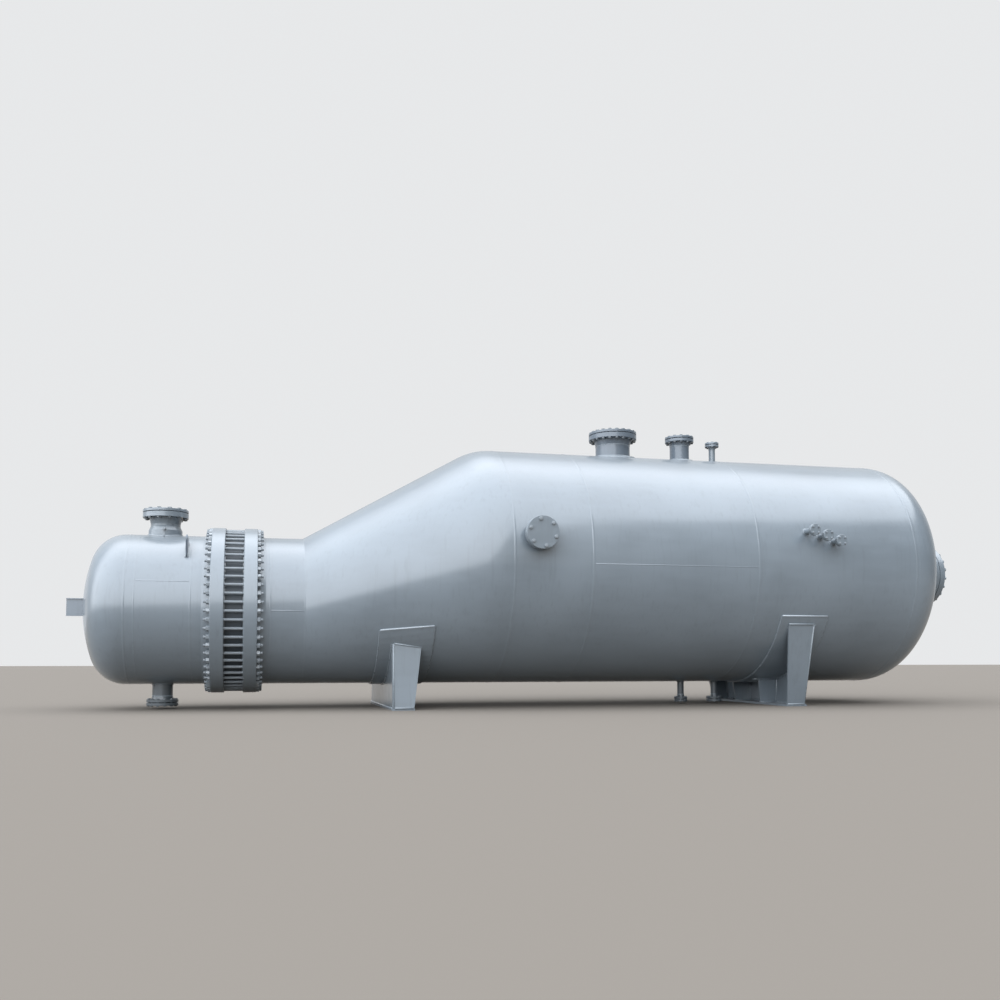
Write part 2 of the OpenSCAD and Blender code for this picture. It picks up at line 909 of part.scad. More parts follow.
// Lifting lugs at the flange end of the channel
module lifting_lug(side) {
    tip = channel_r + lug_reach - lug_tip_r;
    color(paint)
        translate([lug_x, 0, channel_z])
            rotate([side * (90 - lug_angle), 0, 0])
                difference() {
                    hull() {
                        translate([0, -lug_w / 2, channel_r - lug_root])
                            cube([lug_t, lug_w, lug_root + lug_side]);
                        translate([0, 0, tip])
                            rotate([0, 90, 0])
                                cylinder(r = lug_tip_r, h = lug_t, $fn = 48);
                    }
                    translate([-cut_past, 0, tip])
                        rotate([0, 90, 0])
                            cylinder(r = lug_hole_d / 2, h = lug_t + 2 * cut_past);
                    translate([-overlap, 0, 0])
                        rotate([0, 90, 0])
                            cylinder(r = channel_r, h = 2 * overlap, $fn = shell_fn);
                }
}

// End bracket: an upright plate with a rim along its upper and lower edges
module end_bracket() {
    apex = channel_tangent_x - head_depth(channel_r, channel_dish);
    middle = channel_z + bracket_up;
    rim_w = 3 * bracket_t;
    color(paint)
        difference() {
            union() {
                translate([apex - bracket_l, -bracket_t / 2, middle - bracket_h / 2])
                    cube([bracket_l + overlap / 4, bracket_t, bracket_h]);
                for (side = [-1, 1])
                    translate([apex - bracket_l, -rim_w / 2,
                            middle + side * (bracket_h - bracket_t) / 2 - bracket_t / 2])
                        cube([bracket_l + overlap / 4, rim_w, bracket_t]);
            }
            lay(channel_tangent_x, channel_z)
                mirror([0, 0, 1])
                    rotate_extrude()
                        head_half(channel_r, channel_dish[0] * channel_r,
                            channel_dish[1] * channel_r, head_depth(channel_r, channel_dish));
        }
}

// Saddles. Each is drawn with its web on the -X side; the sliding one is turned round.
module saddle_base(slot) {
    difference() {
        translate([-base_w / 2, -base_l / 2, 0])
            cube([base_w, base_l, base_t]);
        for (sx = [-1, 1])
            for (sy = [-1, 1])
                translate([sx * anchor_pitch / 2, sy * anchor_span / 2, -cut_past]) {
                    for (end = [-1, 1])
                        translate([end * slot / 2, 0, 0])
                            cylinder(r = anchor_d / 2, h = base_t + 2 * cut_past, $fn = 48);
                    if (slot > 0)
                        translate([-slot / 2, -anchor_d / 2, 0])
                            cube([slot, anchor_d, base_t + 2 * cut_past]);
                }
    }
}

// Web across the vessel, as wide as the horns of the wear plate at its top
module saddle_web(horn_y, horn_z) {
    translate([web_x, 0, 0])
        rotate([90, 0, 90])
            linear_extrude(web_t)
                polygon([[-base_l / 2 + web_t, base_t], [base_l / 2 - web_t, base_t],
                    [horn_y, horn_z], [-horn_y, horn_z]]);
}

// A rib in the plane of the vessel's length, leaning so that its top lies at top_y
module saddle_rib(foot_y, top_y, top_z, top_w) {
    lean = (top_y - foot_y) / (top_z - base_t);
    multmatrix([[1, 0, 0, 0], [0, 1, lean, foot_y - lean * base_t], [0, 0, 1, 0], [0, 0, 0, 1]])
        translate([web_x, web_t / 2, 0])
            rotate([90, 0, 0])
                linear_extrude(web_t)
                    polygon([[web_t + weld_gap, base_t], [rib_foot_w, base_t],
                        [top_w, top_z], [web_t + weld_gap, top_z]]);
}

module saddle_frame(horn_y, horn_z, top_w) {
    saddle_web(horn_y, horn_z);
    for (i = [0 : rib_n - 1]) {
        share = 2 * i / (rib_n - 1) - 1;
        saddle_rib(share * (base_l - web_t) / 2, share * horn_y, horn_z, top_w);
    }
}

function horn_y(r, angle) = (r + wear_t) * sin(angle);
function horn_z(r, angle) = bottom_h + r - (r + wear_t) * cos(angle);

module fixed_saddle_base() {
    color(paint)
        saddle_base(0);
}

// Solid that fills the cone and its wear plate, over the fixed saddle
module cone_cut(offset) {
    far = knuckle_start;
    polyhedron(points = concat(cone_ring(0, offset, 0, cone_facets - 1),
            cone_ring(far, offset, 0, cone_facets - 1)),
        faces = concat([[for (i = [0 : cone_facets - 1]) i],
            [for (i = [0 : cone_facets - 1]) 2 * cone_facets - 1 - i]],
            [for (i = [0 : cone_facets - 1]) let (n = (i + 1) % cone_facets)
                [i, cone_facets + i, cone_facets + n, n]]));
}

module fixed_saddle_frame() {
    r = cone_r(web_x - cone_x);
    color(paint)
        difference() {
            saddle_frame(horn_y(r, fixed_horn), horn_z(r, fixed_horn), fixed_rib_top_w);
            cone_cut(wear_t);
        }
}

module fixed_saddle_wear_plate() {
    first = -wear_facets;
    last = wear_facets;
    count = last - first + 1;
    u0 = -cone_x + wear_shift - wear_w / 2;
    u1 = u0 + wear_w;
    rings = [cone_ring(u0, wear_t, first, last), cone_ring(u1, wear_t, first, last),
        cone_ring(u1, 0, first, last), cone_ring(u0, 0, first, last)];
    color(paint)
        difference() {
            polyhedron(points = [for (ring = rings) each ring],
                faces = concat(
                    [for (j = [0 : 3]) for (i = [0 : count - 2]) let (k = (j + 1) % 4)
                        each [[j * count + i, k * count + i + 1, j * count + i + 1],
                            [j * count + i, k * count + i, k * count + i + 1]]],
                    [[3 * count, 2 * count, count, 0]],
                    [[count - 1, 2 * count - 1, 3 * count - 1, 4 * count - 1]]));
            translate([wear_shift, 0, bottom_h + fixed_wear_h])
                rotate([0, -fixed_wear_rise, 0])
                    translate([-wear_w, -base_l, 0])
                        cube([2 * wear_w, 2 * base_l, overlap]);
        }
}

module sliding_seat() {
    translate([saddle_span, 0, 0])
        rotate([0, 0, 180])
            children();
}

module sliding_saddle_base() {
    color(paint)
        sliding_seat()
            saddle_base(anchor_slot - anchor_d);
}

module sliding_saddle_frame() {
    color(paint)
        difference() {
            sliding_seat()
                saddle_frame(horn_y(kettle_r, sliding_horn), horn_z(kettle_r, sliding_horn),
                    sliding_rib_top_w);
            lay(saddle_span - overlap, kettle_z)
                cylinder(r = kettle_r + wear_t, h = 2 * overlap, $fn = shell_fn);
        }
}

module sliding_saddle_wear_plate() {
    reach = 2 * kettle_r;
    color(paint)
        translate([saddle_span - wear_shift - wear_w / 2, 0, kettle_z])
            intersection() {
                rotate([0, 90, 0])
                    tube(kettle_r + wear_t, wear_t - weld_gap, wear_w, $fn = shell_fn);
                rotate([90, 0, 90])
                    linear_extrude(wear_w)
                        polygon([[0, 0], [-reach * sin(wear_angle), -reach * cos(wear_angle)],
                            [-reach, -reach], [reach, -reach],
                            [reach * sin(wear_angle), -reach * cos(wear_angle)]]);
            }
}

channel_head();
channel_barrel();
channel_flange();
channel_gasket();
tubesheet();
shell_gasket();
shell_flange();
girth_studs();
shell_neck();
eccentric_cone();
kettle_course_1();
kettle_course_2();
kettle_course_3();
rear_head();
manway_neck();
manway_cover();
handhole_neck();
handhole_cover();
vapour_nozzle();
vapour_pad();
vapour_cover();
relief_nozzle();
relief_pad();
relief_cover();
vent_nozzle();
vent_cover();
gauge_nozzle(0);  // gauge_nozzle_1
gauge_cover(0);  // gauge_cover_1
gauge_nozzle(1);  // gauge_nozzle_2
gauge_cover(1);  // gauge_cover_2
gauge_nozzle(2);  // gauge_nozzle_3
gauge_cover(2);  // gauge_cover_3
drain_nozzle(0);  // drain_nozzle_1
drain_cover(0);  // drain_cover_1
drain_nozzle(1);  // drain_nozzle_2
drain_cover(1);  // drain_cover_2
inlet_nozzle();
inlet_cover();
outlet_nozzle();
outlet_cover();
lifting_lug(1);  // lifting_lug_near
lifting_lug(-1);  // lifting_lug_far
end_bracket();
fixed_saddle_base();
fixed_saddle_frame();
fixed_saddle_wear_plate();
sliding_saddle_base();
sliding_saddle_frame();
sliding_saddle_wear_plate();
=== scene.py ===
"""Looks of a kettle type shell and tube heat exchanger, in metres, in the frame of its solids."""
import math
import random
from collections import namedtuple

import bmesh
import bpy
from mathutils import Matrix, Vector


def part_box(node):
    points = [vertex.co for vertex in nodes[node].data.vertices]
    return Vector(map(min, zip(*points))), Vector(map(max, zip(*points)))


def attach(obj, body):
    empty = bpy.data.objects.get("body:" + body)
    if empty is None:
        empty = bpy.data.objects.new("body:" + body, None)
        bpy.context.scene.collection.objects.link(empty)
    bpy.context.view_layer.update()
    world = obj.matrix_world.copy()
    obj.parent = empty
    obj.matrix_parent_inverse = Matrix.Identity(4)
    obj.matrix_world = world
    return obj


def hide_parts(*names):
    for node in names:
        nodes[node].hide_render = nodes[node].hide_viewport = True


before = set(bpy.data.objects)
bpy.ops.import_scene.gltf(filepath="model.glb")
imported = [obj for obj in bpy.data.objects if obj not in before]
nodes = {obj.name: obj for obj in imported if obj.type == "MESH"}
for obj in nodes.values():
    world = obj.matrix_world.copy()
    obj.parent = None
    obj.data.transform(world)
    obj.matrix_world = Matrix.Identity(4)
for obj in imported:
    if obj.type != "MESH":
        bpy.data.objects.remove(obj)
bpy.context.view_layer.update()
random.seed(11)


def low(node, axis):
    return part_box(node)[0][axis]


def high(node, axis):
    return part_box(node)[1][axis]


def middle(node):
    lowest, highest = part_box(node)
    return (lowest + highest) / 2


def half_size(node, axis):
    return (high(node, axis) - low(node, axis)) / 2


# Main lines of the vessel, read from its solids
KETTLE_R = half_size("kettle_course_2", 2)
CHANNEL_R = half_size("channel_barrel", 2)
BOTTOM = low("kettle_course_2", 2)
KETTLE_Z = BOTTOM + KETTLE_R
CHANNEL_Z = BOTTOM + CHANNEL_R
CONE_X = low("eccentric_cone", 0)
COURSE_1_X = low("kettle_course_1", 0)
COURSE_2_X = low("kettle_course_2", 0)
COURSE_3_X = low("kettle_course_3", 0)
REAR_X = high("kettle_course_3", 0)
BARREL_X = low("channel_barrel", 0)
HUB_X = high("channel_barrel", 0)
NECK_X = low("shell_neck", 0)

# Girth joint: flange faces under the gaskets, flange thickness, stud circle, rim of the tubesheet
CHANNEL_FACE_X = -2.091
SHELL_FACE_X = -1.867
GIRTH_FLANGE_T = 0.160
STUD_CIRCLE_R = 0.990
TUBESHEET_R = 0.942

# Cone: its wall, its turn into the kettle, and the straight edge after that
CONE_WALL = 0.026
TURN_L = 0.400
TURN_FLAT = 0.040
CONE_L = COURSE_1_X - CONE_X
TURN_START = CONE_L - TURN_FLAT - TURN_L
SLOPE = (KETTLE_R - CHANNEL_R) / (CONE_L - TURN_L / 2 - TURN_FLAT)


def cone_r(x):
    """Outside radius of the cone, whose bottom line is level."""
    along = x - CONE_X
    if along <= TURN_START:
        return CHANNEL_R + SLOPE * along
    if along >= TURN_START + TURN_L:
        return KETTLE_R
    return CHANNEL_R + SLOPE * along - SLOPE * (along - TURN_START) ** 2 / (2 * TURN_L)


# Camera, light and floor. Light colours: the sky low down, overhead and to the right, the dark band in
# front and to the right, the face behind on the left and on the right, and the backdrop the camera sees
SKY_LOW = (4.05, 4.25, 4.5, 1.0)
SKY_TOP = (3.8, 4.0, 4.3, 1.0)
SKY_RIGHT = (3.45, 3.65, 3.9, 1.0)
BAND_FRONT = (0.80, 0.79, 0.75, 1.0)
BAND_RIGHT = (0.20, 0.19, 0.18, 1.0)
WALL_LEFT = (0.78, 0.81, 0.85, 1.0)
WALL_RIGHT = (0.56, 0.58, 0.60, 1.0)
BACKDROP = (0.80, 0.81, 0.82, 1.0)
FLOOR_COLOUR = (0.160, 0.143, 0.124, 1.0)


def add_camera():
    """The viewpoint of the photo."""
    data = bpy.data.cameras.new("photo_camera")
    data.lens = 35.98
    data.sensor_width = 36.0
    data.shift_x = 0.0269
    data.shift_y = 0.0985
    data.clip_end = 200.0
    camera = bpy.data.objects.new("photo_camera", data)
    bpy.context.scene.collection.objects.link(camera)
    camera.location = (-1.780, -12.878, 0.6125)
    yaw, pitch = 0.2189, 0.0604
    camera.rotation_euler = (math.pi / 2 + pitch, 0.0, -yaw)
    bpy.context.scene.camera = camera


def add_node(tree, kind, settings=None, **values):
    """A shader node with its settings and inputs. Inputs are named, or numbered as n0, n1 and so on."""
    made = tree.nodes.new(kind)
    for name, value in (settings or {}).items():
        setattr(made, name, value)
    for name, value in values.items():
        numbered = name[0] == "n" and name[1:].isdigit()
        socket = made.inputs[int(name[1:]) if numbered else name.replace("_", " ")]
        if isinstance(value, bpy.types.NodeSocket):
            tree.links.new(value, socket)
        else:
            socket.default_value = value
    return made


def calculate(tree, operation, first, second=0.0):
    return add_node(tree, "ShaderNodeMath", {"operation": operation}, n0=first, n1=second).outputs[0]


def noise(tree, place, scale, detail=2.0, roughness=0.5):
    return add_node(tree, "ShaderNodeTexNoise", Vector=place, Scale=scale, Detail=detail,
                    Roughness=roughness).outputs["Fac"]


def between(tree, value, start, end, low_value=0.0, high_value=1.0):
    return add_node(tree, "ShaderNodeMapRange", Value=value, From_Min=start, From_Max=end,
                    To_Min=low_value, To_Max=high_value).outputs["Result"]


def blend_colour(tree, share, first, second):
    return add_node(tree, "ShaderNodeMix", {"data_type": "RGBA"}, Factor=share, A=first,
                    B=second).outputs["Result"]


def stretched(tree, place, scale, rotation=(0.0, 0.0, 0.0)):
    return add_node(tree, "ShaderNodeMapping", Vector=place, Rotation=rotation, Scale=scale).outputs["Vector"]


def raised(tree, height, distance, normal=None):
    """A normal bent by a height. It builds on another one, if that is given."""
    made = add_node(tree, "ShaderNodeBump", Height=height, Distance=distance, Strength=1.0)
    if normal is not None:
        tree.links.new(normal, made.inputs["Normal"])
    return made.outputs["Normal"]


def add_world():
    """Overcast light over a dark band in front, whose edge rises to the right, with a dimmer face behind
    the vessel."""
    world = bpy.data.worlds.new("open_yard_light")
    bpy.context.scene.world = world
    world.use_nodes = True
    tree = world.node_tree
    tree.nodes.clear()
    way = add_node(tree, "ShaderNodeTexCoord").outputs["Generated"]
    split = add_node(tree, "ShaderNodeSeparateXYZ", n0=way).outputs
    height = calculate(tree, "ARCSINE", split["Z"])
    turn = calculate(tree, "ARCTAN2", split["X"], calculate(tree, "MULTIPLY", split["Y"], -1.0))
    edge = between(tree, turn, math.radians(-8), math.radians(27.5), 0.0, math.radians(39.5))
    above = calculate(tree, "SUBTRACT", height, edge)
    to_right = between(tree, split["X"], 0.25, 0.75)
    sky = blend_colour(tree, between(tree, height, 0.0, math.pi / 2), SKY_LOW, SKY_TOP)
    sky = blend_colour(tree, to_right, sky, SKY_RIGHT)
    band = blend_colour(tree, to_right, BAND_FRONT, BAND_RIGHT)
    light = blend_colour(tree, between(tree, above, math.radians(-1.5), math.radians(4.0)), band, sky)
    behind = calculate(tree, "MULTIPLY", between(tree, split["Y"], 0.10, 0.45),
                       between(tree, height, math.radians(70), math.radians(45)))
    wall = blend_colour(tree, between(tree, split["X"], -0.35, 0.05), WALL_LEFT, WALL_RIGHT)
    light = blend_colour(tree, behind, light, wall)
    seen = add_node(tree, "ShaderNodeBackground", Color=BACKDROP)
    lit = add_node(tree, "ShaderNodeBackground", Color=light)
    path = add_node(tree, "ShaderNodeLightPath")
    choose = add_node(tree, "ShaderNodeMixShader", n0=path.outputs["Is Camera Ray"], n1=lit.outputs[0],
                      n2=seen.outputs[0])
    add_node(tree, "ShaderNodeOutputWorld", Surface=choose.outputs[0])


def add_floor():
    bpy.ops.mesh.primitive_plane_add(size=160.0, location=(2.0, 0.0, 0.0))
    floor = bpy.context.object
    floor.name = "studio_floor"
    material = bpy.data.materials.new("studio_floor")
    material.use_nodes = True
    shader = material.node_tree.nodes["Principled BSDF"]
    shader.inputs["Base Color"].default_value = FLOOR_COLOUR
    shader.inputs["Roughness"].default_value = 0.9
    shader.inputs["Specular IOR Level"].default_value = 0.1
    floor.data.materials.append(material)


add_camera()
add_world()
add_floor()
bpy.context.scene.view_settings.view_transform = "Standard"

# Finishes
DUST_COLOUR = (0.30, 0.29, 0.27, 1.0)
SCUFF_COLOUR = (0.22, 0.235, 0.245, 1.0)
THREAD_PITCH = 0.004


def new_finish(name):
    """A material, its nodes, its surface shader and the coordinates of the piece."""
    material = bpy.data.materials.new(name)
    material.use_nodes = True
    tree = material.node_tree
    place = add_node(tree, "ShaderNodeTexCoord").outputs["Object"]
    return material, tree, tree.nodes["Principled BSDF"], place


def toned(colour, factor, lift=0.0):
    return (*(min(1.0, part * factor + lift) for part in colour), 1.0)


def painted_steel(name, colour, roughness=0.32, peel=0.00012, ripple=0.0, thread=None, dust=1.0, coat=0.75):
    """Sprayed enamel on steel: orange peel, faint spray passes along the vessel, run marks down upright
    faces, dust on top and small scuffs."""
    material, tree, shader, place = new_finish(name)
    long_way = stretched(tree, place, (0.22, 1.0, 1.0))
    patches = noise(tree, place, 0.9, 3.0)
    passes = noise(tree, long_way, 9.0, 3.0, 0.6)
    fine = noise(tree, place, 46.0, 4.0, 0.65)
    normal = add_node(tree, "ShaderNodeNewGeometry").outputs["Normal"]
    up = add_node(tree, "ShaderNodeSeparateXYZ", n0=normal).outputs["Z"]

    tone = blend_colour(tree, between(tree, patches, 0.3, 0.7), toned(colour, 0.90),
                        toned(colour, 1.10, 0.006))
    streak = between(tree, passes, 0.35, 0.72, 0.0, 0.35)
    tone = blend_colour(tree, streak, tone, toned(colour, 1.16, 0.004))
    drips = noise(tree, stretched(tree, place, (7.0, 7.0, 0.3)), 3.0, 4.0)
    upright = between(tree, calculate(tree, "ABSOLUTE", up), 0.85, 0.55)
    run_marks = calculate(tree, "MULTIPLY", between(tree, drips, 0.54, 0.74, 0.0, 0.30), upright)
    tone = blend_colour(tree, run_marks, tone, toned(colour, 0.72))
    settled = calculate(tree, "MULTIPLY", between(tree, up, 0.55, 1.0),
                        between(tree, fine, 0.36, 0.72, 0.06, 0.30 * dust))
    tone = blend_colour(tree, settled, tone, DUST_COLOUR)
    scuffed = noise(tree, stretched(tree, place, (1.0, 3.5, 7.0), (0.0, 0.5, 0.3)), 7.0, 5.0, 0.7)
    scuffs = calculate(tree, "MULTIPLY", between(tree, scuffed, 0.66, 0.74),
                       between(tree, patches, 0.46, 0.66))
    tone = blend_colour(tree, calculate(tree, "MULTIPLY", scuffs, 0.35), tone, SCUFF_COLOUR)
    tree.links.new(tone, shader.inputs["Base Color"])

    gloss = between(tree, passes, 0.3, 0.7, roughness - 0.04, roughness + 0.05)
    gloss = calculate(tree, "ADD", gloss, calculate(tree, "MULTIPLY", settled, 0.5))
    gloss = calculate(tree, "ADD", gloss, calculate(tree, "MULTIPLY", scuffs, 0.2))
    tree.links.new(gloss, shader.inputs["Roughness"])
    shader.inputs["Coat Weight"].default_value = coat
    shader.inputs["Coat Roughness"].default_value = 0.13
    shader.inputs["IOR"].default_value = 1.5

    skin = raised(tree, noise(tree, place, 260.0, 2.0), peel)
    skin = raised(tree, noise(tree, long_way, 3.2, 1.0), 0.0011, skin)
    if ripple:
        skin = raised(tree, noise(tree, place, 85.0, 3.0, 0.6), ripple, skin)
    if thread:
        along = add_node(tree, "ShaderNodeSeparateXYZ", n0=place).outputs[thread]
        turns = calculate(tree, "SINE", calculate(tree, "MULTIPLY", along, 2 * math.pi / THREAD_PITCH))
        skin = raised(tree, turns, 0.0007, skin)
    tree.links.new(skin, shader.inputs["Normal"])
    tree.links.new(skin, shader.inputs["Coat Normal"])
    return material


def gasket_sheet(name):
    """Graphite and steel winding seen on edge, with a dull grain and paler blotches."""
    material, tree, shader, place = new_finish(name)
    grain = noise(tree, place, 190.0, 4.0, 0.7)
    blotch = noise(tree, place, 12.0, 3.0)
    tone = blend_colour(tree, between(tree, grain, 0.3, 0.7), (0.035, 0.036, 0.038, 1.0),
                        (0.085, 0.086, 0.088, 1.0))
    tone = blend_colour(tree, between(tree, blotch, 0.5, 0.75, 0.0, 0.5), tone, (0.12, 0.125, 0.13, 1.0))
    tree.links.new(tone, shader.inputs["Base Color"])
    tree.links.new(between(tree, grain, 0.3, 0.7, 0.5, 0.75), shader.inputs["Roughness"])
    tree.links.new(raised(tree, grain, 0.0004), shader.inputs["Normal"])
    return material


shell_paint = painted_steel("shell_paint", (0.125, 0.150, 0.172))
cover_paint = painted_steel("cover_paint", (0.121, 0.146, 0.168), 0.34)
nozzle_paint = painted_steel("nozzle_paint", (0.082, 0.103, 0.126), 0.36, coat=0.5)
# Painted shade: the outlet and drains get a near-black paint that stands in for the shade under the vessel.
underside_shade_paint = painted_steel("underside_shade_paint", (0.050, 0.061, 0.070), 0.38, coat=0.4)
saddle_paint = painted_steel("saddle_paint", (0.124, 0.148, 0.169), 0.36, dust=1.6)
bracket_paint = painted_steel("bracket_paint", (0.103, 0.127, 0.152), 0.34)
# Painted shade: the tubesheet's rim is painted near black, standing in for the shade in the gaps between the
# girth studs.
rim_shade_paint = painted_steel("rim_shade_paint", (0.028, 0.037, 0.046), 0.55, coat=0.0)
# Painted shade: the lugs are painted dark navy, standing in for the shade on their edges.
lug_shade_paint = painted_steel("lug_shade_paint", (0.060, 0.080, 0.104), 0.40, coat=0.4)
seam_paint = painted_steel("seam_paint", (0.130, 0.155, 0.177), 0.32, ripple=0.0007)
# Painted highlight: the top fillets of the wear plates are painted near white, standing in for the bright
# highlight along them.
edge_weld_highlight_paint = painted_steel("edge_weld_highlight_paint", (0.240, 0.272, 0.300), 0.28, ripple=0.0010)
# Painted highlight: the weld beads are painted lighter than the shell, standing in for the highlights they
# catch.
weld_highlight_paint = painted_steel("weld_highlight_paint", (0.150, 0.176, 0.198), 0.28, ripple=0.0016)
nut_paint = painted_steel("nut_paint", (0.160, 0.184, 0.205), 0.32)
# Painted shade: the nuts of the upright nozzles are painted dark, standing in for the shade under their
# flanges.
cover_nut_shade_paint = painted_steel("cover_nut_shade_paint", (0.070, 0.083, 0.094), 0.36)
stud_paints = {axis: painted_steel("stud_paint_" + axis.lower(), (0.175, 0.200, 0.222), 0.32, thread=axis)
               for axis in "XYZ"}
gasket_edge = gasket_sheet("gasket_edge")


# Tools for shaping
def deselect():
    bpy.ops.object.select_all(action="DESELECT")


def hold(*pieces):
    deselect()
    for piece in pieces:
        piece.select_set(True)
    bpy.context.view_layer.objects.active = pieces[0]


def leave_edit():
    bpy.ops.object.mode_set(mode="OBJECT")


def bevel_edges(piece, wanted, width, segments=1):
    """Chamfers the edges that a test picks out."""
    hold(piece)
    bpy.ops.object.mode_set(mode="EDIT")
    bpy.ops.mesh.select_mode(type="EDGE")
    bpy.ops.mesh.select_all(action="DESELECT")
    mesh = bmesh.from_edit_mesh(piece.data)
    for edge in mesh.edges:
        edge.select_set(wanted(edge))
    bmesh.update_edit_mesh(piece.data)
    bpy.ops.mesh.bevel(offset=width, segments=segments, affect="EDGES")
    leave_edit()


def is_end_edge(edge):
    return abs(edge.verts[0].co.z - edge.verts[1].co.z) < 1e-6


def settle(piece):
    hold(piece)
    bpy.ops.object.transform_apply(location=True, rotation=True, scale=True)


def join(name, pieces):
    hold(*pieces)
    if len(pieces) > 1:
        bpy.ops.object.join()
    whole = bpy.context.object
    whole.name = name
    whole.data.name = name
    settle(whole)
    return whole


def face_outwards(piece):
    hold(piece)
    bpy.ops.object.mode_set(mode="EDIT")
    bpy.ops.mesh.select_all(action="SELECT")
    bpy.ops.mesh.remove_doubles(threshold=0.00002)
    bpy.ops.mesh.normals_make_consistent(inside=False)
    leave_edit()


def copy_of(piece, place):
    twin = piece.copy()
    twin.data = piece.data.copy()
    bpy.context.scene.collection.objects.link(twin)
    twin.matrix_world = place
    return twin


def finish_piece(piece, material, angle=35):
    if material:
        piece.data.materials.clear()
        piece.data.materials.append(material)
    hold(piece)
    bpy.ops.object.shade_smooth_by_angle(angle=math.radians(angle))
    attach(piece, "root")


# Nozzles
UP = Matrix.Identity(3)
DOWN = Matrix.Rotation(math.pi, 3, "X")
NEAR = Matrix.Rotation(math.pi / 2, 3, "X")
REAR = Matrix.Rotation(math.pi / 2, 3, "Y")

# A nozzle's seat turns +Z to its own direction. Then come its axis, the count, diameter and width across
# flats of its studs, its bolt circle, the thickness of its flange and of its cover, the outside radius
# of its neck, and the turn of its bolt circle in degrees
Nozzle = namedtuple("Nozzle", "seat axis count stud_d flats circle flange_t cover_t neck_r turn")
NOZZLES = {
    "inlet": Nozzle(UP, "Z", 12, 0.030, 0.046, 0.476, 0.062, 0.032, 0.1760, 0.0),
    "outlet": Nozzle(DOWN, "Z", 12, 0.022, 0.036, 0.326, 0.032, 0.032, 0.1220, 0.0),
    "vapour": Nozzle(UP, "Z", 20, 0.030, 0.046, 0.590, 0.062, 0.034, 0.2330, 0.0),
    "relief": Nozzle(UP, "Z", 12, 0.024, 0.038, 0.344, 0.040, 0.028, 0.1320, 0.0),
    "vent": Nozzle(UP, "Z", 8, 0.016, 0.027, 0.154, 0.026, 0.026, 0.0440, 0.0),
    "drain_1": Nozzle(DOWN, "Z", 8, 0.016, 0.024, 0.146, 0.026, 0.026, 0.0445, 0.0),
    "drain_2": Nozzle(DOWN, "Z", 8, 0.016, 0.027, 0.170, 0.026, 0.026, 0.0445, 0.0),
    "gauge_1": Nozzle(NEAR, "Y", 4, 0.016, 0.025, 0.106, 0.022, 0.022, 0.0360, 0.0),
    "gauge_2": Nozzle(NEAR, "Y", 4, 0.016, 0.025, 0.106, 0.022, 0.022, 0.0360, 0.0),
    "gauge_3": Nozzle(NEAR, "Y", 4, 0.016, 0.025, 0.106, 0.022, 0.022, 0.0360, 0.0),
    "handhole": Nozzle(NEAR, "Y", 6, 0.024, 0.041, 0.326, 0.044, 0.040, 0.1365, 11.5),
    "manway": Nozzle(REAR, "X", 20, 0.033, 0.050, 0.770, 0.076, 0.078, 0.3150, 0.0),
}
FACE_GAP = 0.008
PAD_T = 0.020
PADDED = ("vapour", "relief")


def cover_node(name):
    family, _, number = name.partition("_")
    return family + "_cover" + ("_" + number if number else "")


def face_of(name):
    """The middle of a nozzle's raised face, where its cover lies, and the way it looks."""
    out = NOZZLES[name].seat @ Vector((0.0, 0.0, 1.0))
    return middle(cover_node(name)) - out * NOZZLES[name].cover_t / 2, out


# Weld beads
def round_bead(x, radius, axis_z, width=0.026, height=0.007, start=0.0, sweep=360.0, steps=240):
    """A flat oval bead round the vessel at x. Angles run from straight up towards the far side."""
    deselect()
    bpy.ops.mesh.primitive_circle_add(vertices=10, radius=0.5, location=(x, 0.0, axis_z + radius),
                                      rotation=(math.pi / 2, 0.0, 0.0))
    bead = bpy.context.object
    bead.name = "bead"
    bead.scale = (width, height, 1.0)
    settle(bead)
    bpy.ops.object.mode_set(mode="EDIT")
    bpy.ops.mesh.select_all(action="SELECT")
    if start:
        bpy.ops.transform.rotate(value=math.radians(start), orient_axis="X", orient_type="GLOBAL",
                                 center_override=(x, 0.0, axis_z))
    if sweep < 360.0:
        bpy.ops.mesh.edge_face_add()
    bpy.ops.mesh.spin(steps=steps, dupli=False, angle=math.radians(sweep), center=(x, 0.0, axis_z),
                      axis=(1.0, 0.0, 0.0))
    leave_edit()
    face_outwards(bead)
    return bead


def straight_bead(first, last, radius=0.008, sides=8):
    """A bead from one point to another, with rounded ends."""
    first, last = Vector(first), Vector(last)
    way = last - first
    deselect()
    bpy.ops.mesh.primitive_cylinder_add(vertices=sides, radius=radius, depth=way.length)
    bead = bpy.context.object
    bead.name = "bead"
    bevel_edges(bead, is_end_edge, radius * 0.5)
    bead.rotation_euler = way.to_track_quat("Z", "Y").to_euler()
    bead.location = (first + last) / 2
    settle(bead)
    return bead


def nozzle_bead(centre, seat, ring_r, shell_r, shell_z, leg=0.018, lift=0.0):
    """A fillet round a nozzle where it meets the shell."""
    deselect()
    bpy.ops.mesh.primitive_torus_add(major_segments=120, minor_segments=10, major_radius=ring_r,
                                     minor_radius=leg * 0.75)
    bead = bpy.context.object
    bead.name = "bead"
    out = seat @ Vector((0.0, 0.0, 1.0))
    side = seat @ Vector((0.0, 1.0, 0.0))
    offset = Vector((0.0, centre.y, centre.z - shell_z)).dot(side)
    for vertex in bead.data.vertices:
        across = offset + vertex.co.y
        vertex.co.z += math.sqrt((shell_r + lift) ** 2 - across ** 2)
    root = Vector((centre.x, 0.0, shell_z)) + side * offset
    bead.matrix_world = Matrix.Translation(root) @ seat.to_4x4()
    settle(bead)
    return bead


